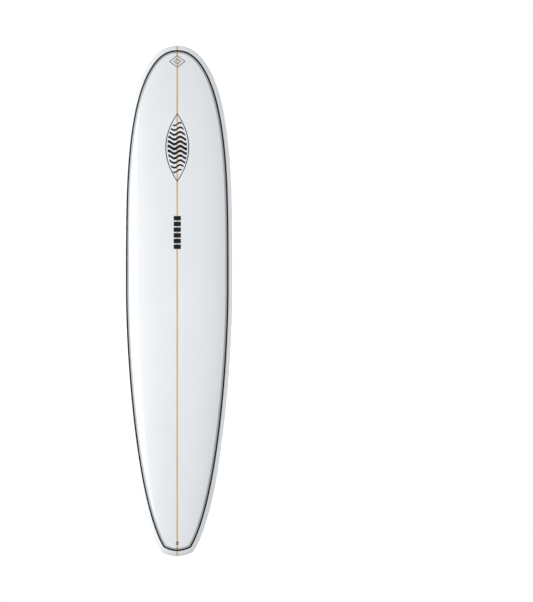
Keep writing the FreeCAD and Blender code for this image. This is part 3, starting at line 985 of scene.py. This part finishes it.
def add_shared_prints(trees, inks):
    """The pinline and the marks that both faces have."""
    pinline = [(inset_outline(PIN_INSET), inset_outline(PIN_INSET + PIN_WIDTH), True)]
    prints = [
        ("pinline", "black_ink", pinline, 2),
        ("nose_mark", "grey_ink", nose_mark_ribbons(), 2),
        ("wave_badge", "black_ink", badge_ribbons(), 2),
        ("bar_block", "black_ink", bar_ribbons(), 6),
    ]
    for face, deck in FACES:
        for what, ink, ribbons, columns in prints:
            node = face + "_" + what
            piece = laid_ribbons(node + "_print", ribbons, deck, trees[face], columns)
            dress(piece, inks[ink], replaces=[node])


def add_shade(tree):
    """The sprayed band just inside the deck's pinline, a little thinner than it."""
    near = PIN_INSET + PIN_WIDTH
    band = [(inset_outline(near), inset_outline(near + SHADE_WIDTH), True)]
    piece = laid_ribbons("deck_shade_print", band, True, tree, 3, 0.9 * INK)
    dress(piece, shade_material("shade_line"), replaces=["deck_shade_line"])


def add_bottom_marks(tree, inks):
    """The marks that only the bottom has. The dashes' dark edges stand over the dashes."""
    prints = [
        ("grey_dash_print", "grey_ink", "pale_ink", [dash_ribbon(1)], INK, ["grey_dash"]),
        ("red_dash_print", "red_ink", "red_ink", [dash_ribbon(-1)], INK, ["red_dash"]),
        ("dash_edges", "black_ink", "black_ink", dash_edge_ribbons(), 1.1 * INK, []),
        ("tail_mark_print", "grey_ink", "grey_ink", tail_mark_ribbons(), INK, ["tail_mark"]),
    ]
    for name, slot, ink, ribbons, lift, nodes in prints:
        piece = laid_ribbons(name, ribbons, False, tree, 3, lift)
        dress(piece, inks[ink], replaces=nodes)


def add_label(tree, inks):
    """The paper label, thinner than the plain rules and bars that are printed on it."""
    low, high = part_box("size_label")
    sheet = rectangle(low.x, high.x, low.z, high.z, 20)
    label = laid_ribbons("blank_label", [sheet], False, tree, 6, 0.5 * INK)
    dress(label, paper_material("label_paper"), replaces=["size_label"])
    rules = laid_ribbons("label_rules", label_ribbons(low, high), False, tree, 1)
    dress(rules, inks["grey_ink"])
    bars = laid_ribbons("label_bars", label_bars(low, high), False, tree, 1)
    dress(bars, inks["black_ink"])


def finish_hardware():
    """New materials on the CAD nodes that stay."""
    plug = plastic_material("plug_plastic", PLUG_PLASTIC, 0.5, 0.3)
    cup = plastic_material("cup_plastic", CUP_PLASTIC, 0.35, 0.12)
    # painted shade inside the cup's mouth, below its rim
    paint_shade_below(cup, on_deck(LEASH_FROM_TAIL), MOUTH_PAINTED_SHADE)
    box = plastic_material("box_plastic", BOX_PLASTIC, 0.5, 0.2)
    screw = steel_material("screw_steel", SCREW_STEEL, 0.35)
    stainless = steel_material("stainless", STAINLESS, 0.28)
    foam = foam_material("foam")
    finishes = {
        "side_plug_": plug, "leash_plug_cup": cup, "fin_box": box, "grub_screw_": screw,
        "leash_plug_bar": stainless, "fin_screw_plate": stainless,
        "foam_": foam, "stringer": wood_material("stringer_wood"),
    }
    for name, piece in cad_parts.items():
        for start, material in finishes.items():
            if name.startswith(start):
                for slot in piece.material_slots:
                    slot.material = material


# ---- studio ----

def add_floor():
    """A pale floor just under the tail, which neither lights the board nor shows in its gloss."""
    rim = [(x, y, 0.0) for x, y in circle(FLOOR_RADIUS, 96)]
    floor = new_object("floor", rim, [tuple(range(len(rim)))])
    floor.location.z = cad_low.z - FLOOR_GAP
    floor.data.materials.append(floor_material())
    floor.visible_diffuse = False
    floor.visible_glossy = False


def add_world():
    """White to look at, and a dimmer even light on the board."""
    world = bpy.data.worlds.new("studio")
    bpy.context.scene.world = world
    world.use_nodes = True
    tree = world.node_tree
    lit = tree.nodes["Background"]
    lit.inputs["Color"].default_value = WORLD_COLOUR
    lit.inputs["Strength"].default_value = WORLD_LIGHT
    seen = tree.nodes.new("ShaderNodeBackground")
    seen.inputs["Color"].default_value = WHITE
    path = tree.nodes.new("ShaderNodeLightPath")
    mix = tree.nodes.new("ShaderNodeMixShader")
    tree.links.new(path.outputs["Is Camera Ray"], mix.inputs["Fac"])
    tree.links.new(lit.outputs[0], mix.inputs[1])
    tree.links.new(seen.outputs[0], mix.inputs[2])
    tree.links.new(mix.outputs[0], tree.nodes["World Output"].inputs["Surface"])
    bpy.context.scene.view_settings.view_transform = "Standard"


def add_lights():
    """Soft rectangles of light, each turned to the middle of the board."""
    for name, place, size, power, reflected in LIGHTS:
        data = bpy.data.lights.new(name, "AREA")
        data.shape = "RECTANGLE"
        data.size, data.size_y = size
        data.energy = power
        light = bpy.data.objects.new(name, data)
        light.location = place
        light.visible_glossy = reflected
        light.rotation_euler = (-Vector(place)).to_track_quat("-Z", "Y").to_euler()
        bpy.context.scene.collection.objects.link(light)


def add_camera():
    """A flat view square to the deck."""
    data = bpy.data.cameras.new("camera")
    data.type = "ORTHO"
    data.ortho_scale = VIEW_HEIGHT
    data.clip_end = 3 * FLOOR_RADIUS
    camera = bpy.data.objects.new("camera", data)
    camera.location = (VIEW_OFFSET, -CAMERA_DISTANCE, 0.0)
    camera.rotation_euler = (math.radians(90), 0, 0)
    bpy.context.scene.collection.objects.link(camera)
    bpy.context.scene.camera = camera


def main():
    trees = add_skins()
    inks = {name: ink_material(name, colours) for name, colours in INKS.items()}
    add_shared_prints(trees, inks)
    add_shade(trees["deck"])
    add_bottom_marks(trees["bottom"], inks)
    add_label(trees["bottom"], inks)
    finish_hardware()
    add_floor()
    add_world()
    add_lights()
    add_camera()


main()
